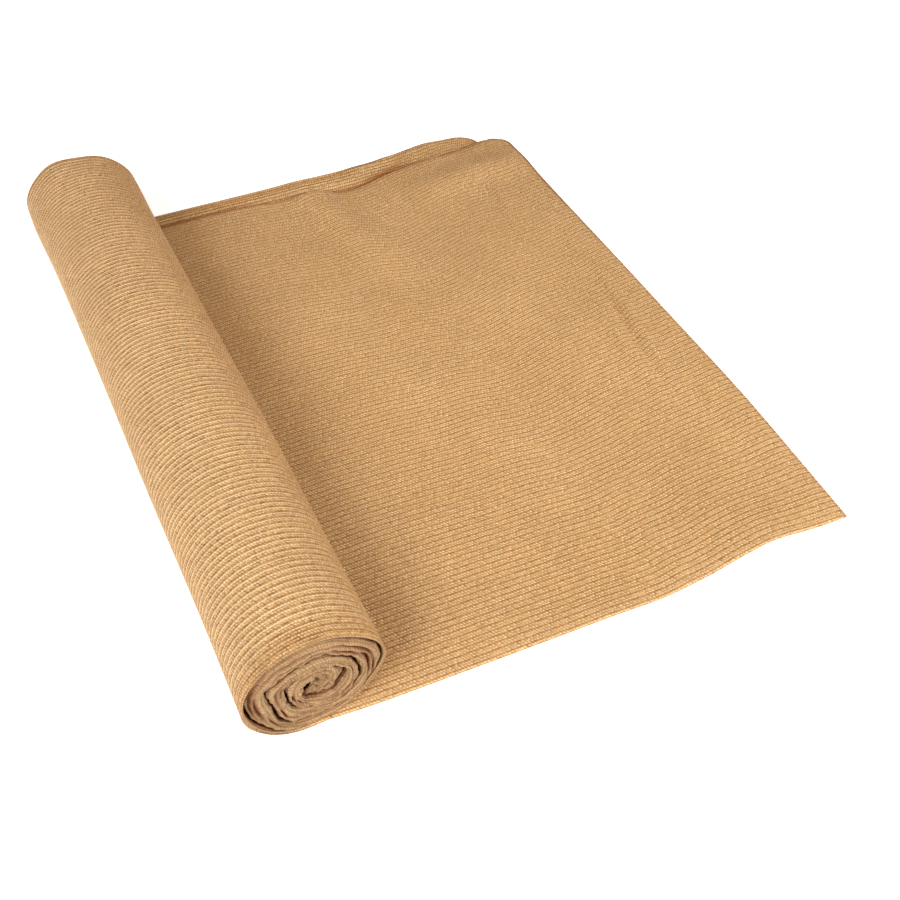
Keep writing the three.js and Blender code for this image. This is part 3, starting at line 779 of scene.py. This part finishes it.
class NETTING_OT_outer_turn(bpy.types.Operator):
    """Build the outermost turn of the roll, whose face carries its ribs as real relief."""

    bl_idname = "netting.outer_turn"
    bl_label = "Outer turn"

    def execute(self, context):
        sizes, colours = context.scene.netting_sizes, context.scene.netting_colours
        turns = np.linspace(SEAM_TURN, SPLIT_TURN, OUTER_ROWS)
        across = across_grid(sizes.rib_pitch, (-OUTER_PLY, INNER_PLY), [(-OUTER_PLY, PAST_FOLD)], COARSE)
        cloth_piece("netting_outer_turn", wound_cloth(turns, across, sizes), sizes, "roll",
                    netting_material(sizes, colours))
        return {"FINISHED"}


class NETTING_OT_inner_turns(bpy.types.Operator):
    """Build the turns inside the outermost one, fine at the near fold and plain where they are hidden."""

    bl_idname = "netting.inner_turns"
    bl_label = "Inner turns"

    def execute(self, context):
        sizes, colours = context.scene.netting_sizes, context.scene.netting_colours
        turns = np.linspace(SPLIT_TURN, LAST_TURN, INNER_ROWS)
        across = across_grid(sizes.rib_pitch, (-OUTER_PLY, INNER_PLY), [(-PAST_FOLD, PAST_FOLD)],
                             INNER_COARSE, parts=8)
        cloth_piece("netting_inner_turns", wound_cloth(turns, across, sizes), sizes, "roll",
                    netting_material(sizes, colours))
        return {"FINISHED"}


class NETTING_OT_loose_end(bpy.types.Operator):
    """Build the loose end that lies flat on the floor."""

    bl_idname = "netting.loose_end"
    bl_label = "Loose end"

    def execute(self, context):
        sizes, colours = context.scene.netting_sizes, context.scene.netting_colours
        close = [(-LOOSE_LOWER_PLY, LOWER_SHOWS - LOOSE_LOWER_PLY), (-LOOSE_PAST_FOLD, LOOSE_UPPER_PLY)]
        across = across_grid(sizes.rib_pitch, (-LOOSE_LOWER_PLY, LOOSE_UPPER_PLY), close, COARSE)
        lengths = 1 - np.linspace(0, 1, LOOSE_ROWS) ** CUT_CLOSER
        cloth_piece("netting_loose_end", loose_cloth(lengths, across, sizes), sizes, "loose_end",
                    netting_material(sizes, colours))
        return {"FINISHED"}


class NETTING_OT_stage(bpy.types.Operator):
    """Lay the pale floor, and set the lights and the camera."""

    bl_idname = "netting.stage"
    bl_label = "Floor, lights and camera"

    def execute(self, context):
        scene = context.scene
        mesh = bpy.data.meshes.new("floor")
        corners = [(-1, -1), (1, -1), (1, 1), (-1, 1)]
        mesh.from_pydata([(FLOOR_HALF * a, FLOOR_HALF * b, 0) for a, b in corners], [], [(0, 1, 2, 3)])
        floor = bpy.data.objects.new("floor", mesh)
        scene.collection.objects.link(floor)
        mesh.materials.append(pale_floor(scene.netting_colours))
        area_light("key", *KEY_LIGHT)
        area_light("fill", *FILL_LIGHT)
        world = bpy.data.worlds.new("studio")
        world.use_nodes = True
        world.node_tree.nodes["Background"].inputs["Color"].default_value = ROOM_COLOUR
        world.node_tree.nodes["Background"].inputs["Strength"].default_value = ROOM_STRENGTH
        scene.world = world
        scene.view_settings.view_transform = "Standard"
        place_camera(scene)
        return {"FINISHED"}


def pale_floor(colours):
    """Matt white paper sweep: nearly white, with almost no gloss. It glows as a lit backdrop does, less
    beside the object than away from it, so that little more than the contact shadow darkens it."""
    material = bpy.data.materials.new("matt_white_paper")
    material.use_nodes = True
    tree = material.node_tree
    shader = tree.nodes["Principled BSDF"]
    shader.inputs["Base Color"].default_value = (*colours.floor, 1.0)
    shader.inputs["Roughness"].default_value = 0.9
    shader.inputs["Specular IOR Level"].default_value = 0.1
    shader.inputs["Emission Color"].default_value = (1.0, 1.0, 1.0, 1.0)
    low, high = (np.array(corner[:2]) for corner in CAD_BOX)
    middle, reach = (low + high) / 2, (high - low) / 2
    place = add_node(tree, "ShaderNodeTexCoord", {}, out="Object")
    away = add_node(tree, "ShaderNodeVectorMath", {0: place, 1: (*middle, 0.0)}, operation="SUBTRACT")
    away = add_node(tree, "ShaderNodeVectorMath", {0: away}, operation="ABSOLUTE")
    away = add_node(tree, "ShaderNodeVectorMath", {0: away, 1: (*reach, 0.0)}, operation="SUBTRACT")
    sides = add_node(tree, "ShaderNodeSeparateXYZ", {0: away}).node
    distance = add_node(tree, MATH, {0: sides.outputs[0], 1: sides.outputs[1]}, operation="MAXIMUM")
    glow = add_node(tree, RANGE, {0: distance, 1: 0.0, 2: GLOW_DISTANCE, 3: GLOW_NEAR, 4: GLOW_AWAY},
                    **SMOOTH)
    tree.links.new(glow, shader.inputs["Emission Strength"])
    return material


def area_light(name, place, target, power):
    """A square soft light at a place, turned to a target, whose spread is narrowed as by a grid."""
    data = bpy.data.lights.new(name, "AREA")
    data.size = LIGHT_SIDE
    data.spread = LIGHT_SPREAD
    data.energy = power
    data.color = LIGHT_COLOUR
    light = bpy.data.objects.new(name, data)
    light.location = place
    light.rotation_euler = (Vector(target) - Vector(place)).to_track_quat("-Z", "Y").to_euler()
    bpy.context.scene.collection.objects.link(light)


def place_camera(scene):
    """The photo's camera: it looks along its yaw from +Y towards +X and its pitch below the horizon."""
    flat, down = math.cos(CAMERA_PITCH), math.sin(CAMERA_PITCH)
    ahead = Vector((math.sin(CAMERA_YAW) * flat, math.cos(CAMERA_YAW) * flat, -down))
    level = Vector((math.cos(CAMERA_YAW), -math.sin(CAMERA_YAW), 0.0))
    up = level.cross(ahead)
    right = level * math.cos(CAMERA_ROLL) + up * math.sin(CAMERA_ROLL)
    up = up * math.cos(CAMERA_ROLL) - level * math.sin(CAMERA_ROLL)
    data = bpy.data.cameras.new("camera")
    data.lens = CAMERA_LENS
    data.sensor_width = CAMERA_SENSOR
    data.clip_start = CAMERA_NEAREST
    camera = bpy.data.objects.new("camera", data)
    camera.matrix_world = Matrix.Translation(CAMERA_PLACE) @ Matrix((right, up, -ahead)).transposed().to_4x4()
    scene.collection.objects.link(camera)
    scene.camera = camera


class NETTING_PT_panel(bpy.types.Panel):
    """Sizes, colours and pieces of the netting."""

    bl_label = "Shade netting"
    bl_space_type = "VIEW_3D"
    bl_region_type = "UI"
    bl_category = "Netting"

    def draw(self, context):
        for group in (context.scene.netting_sizes, context.scene.netting_colours):
            box = self.layout.box()
            for key in group.__annotations__:
                box.prop(group, key)
        for operator in OPERATORS:
            self.layout.operator(operator.bl_idname)


OPERATORS = (NETTING_OT_stage, NETTING_OT_loose_end, NETTING_OT_outer_turn, NETTING_OT_inner_turns)
CLASSES = (NettingSizes, NettingColours, *OPERATORS, NETTING_PT_panel)


def register():
    for cls in CLASSES:
        bpy.utils.register_class(cls)
    bpy.types.Scene.netting_sizes = bpy.props.PointerProperty(type=NettingSizes)
    bpy.types.Scene.netting_colours = bpy.props.PointerProperty(type=NettingColours)


def unregister():
    del bpy.types.Scene.netting_colours
    del bpy.types.Scene.netting_sizes
    for cls in reversed(CLASSES):
        bpy.utils.unregister_class(cls)


def main():
    """Register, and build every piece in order."""
    register()
    bpy.ops.netting.stage()
    bpy.ops.netting.loose_end()
    bpy.ops.netting.outer_turn()
    bpy.ops.netting.inner_turns()


if __name__ == "__main__":
    main()
